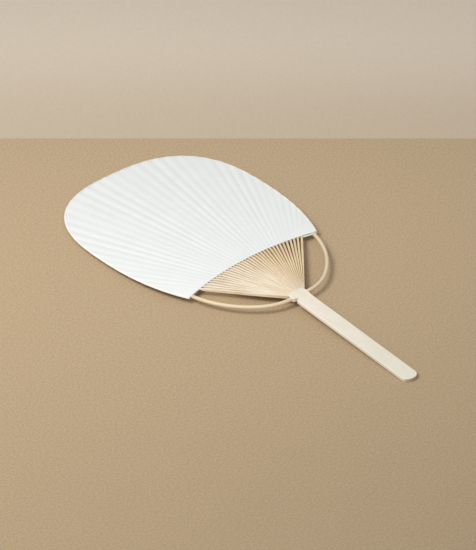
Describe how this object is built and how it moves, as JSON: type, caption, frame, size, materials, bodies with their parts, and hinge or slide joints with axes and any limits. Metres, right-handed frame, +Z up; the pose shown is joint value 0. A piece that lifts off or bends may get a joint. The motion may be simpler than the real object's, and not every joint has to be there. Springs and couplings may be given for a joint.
{
  "type": "round uchiwa fan",
  "caption": "Rigid round hand fan: ribs split from a flat bamboo handle and spread by a bent bow carry a paper leaf with a bound rim.",
  "frame": {"origin": "centre of the fan's bounding box at its bottom, on the surface that the fan lies on", "axes": "+Y from the handle's end to the leaf's tip, +Z up, away from the surface that the fan lies on"},
  "size_m": [0.1624, 0.3506, 0.0094],
  "materials": {
    "handle_bamboo": "pale bamboo, scraped smooth, unvarnished",
    "bow_bamboo": "pale round bamboo rod, bent warm, unvarnished",
    "rib_bamboo": "pale split bamboo, unvarnished",
    "leaf_paper": "plain white handmade paper, matte",
    "binding_paper": "narrow cream paper strip, matte",
    "ear_paper": "plain white paper patch, matte",
    "thread": "off-white cotton thread"
  },
  "bodies": {
    "root": {"handle": "handle_bamboo", "bow": "bow_bamboo", "rib_01": "rib_bamboo", "rib_02": "rib_bamboo", "rib_03": "rib_bamboo", "rib_04": "rib_bamboo", "rib_05": "rib_bamboo", "rib_06": "rib_bamboo", "rib_07": "rib_bamboo", "rib_08": "rib_bamboo", "rib_09": "rib_bamboo", "rib_10": "rib_bamboo", "rib_11": "rib_bamboo", "rib_12": "rib_bamboo", "rib_13": "rib_bamboo", "rib_14": "rib_bamboo", "rib_15": "rib_bamboo", "rib_16": "rib_bamboo", "rib_17": "rib_bamboo", "rib_18": "rib_bamboo", "rib_19": "rib_bamboo", "rib_20": "rib_bamboo", "rib_21": "rib_bamboo", "rib_22": "rib_bamboo", "rib_23": "rib_bamboo", "rib_24": "rib_bamboo", "rib_25": "rib_bamboo", "rib_26": "rib_bamboo", "rib_27": "rib_bamboo", "rib_28": "rib_bamboo", "rib_29": "rib_bamboo", "rib_30": "rib_bamboo", "rib_31": "rib_bamboo", "rib_32": "rib_bamboo", "rib_33": "rib_bamboo", "front_paper": "leaf_paper", "back_paper": "leaf_paper", "edge_binding": "binding_paper", "lower_thread": "thread", "upper_thread": "thread", "left_lashing": "thread", "right_lashing": "thread", "front_left_ear": "ear_paper", "front_right_ear": "ear_paper", "back_left_ear": "ear_paper", "back_right_ear": "ear_paper"}
  },
  "joints": []
}
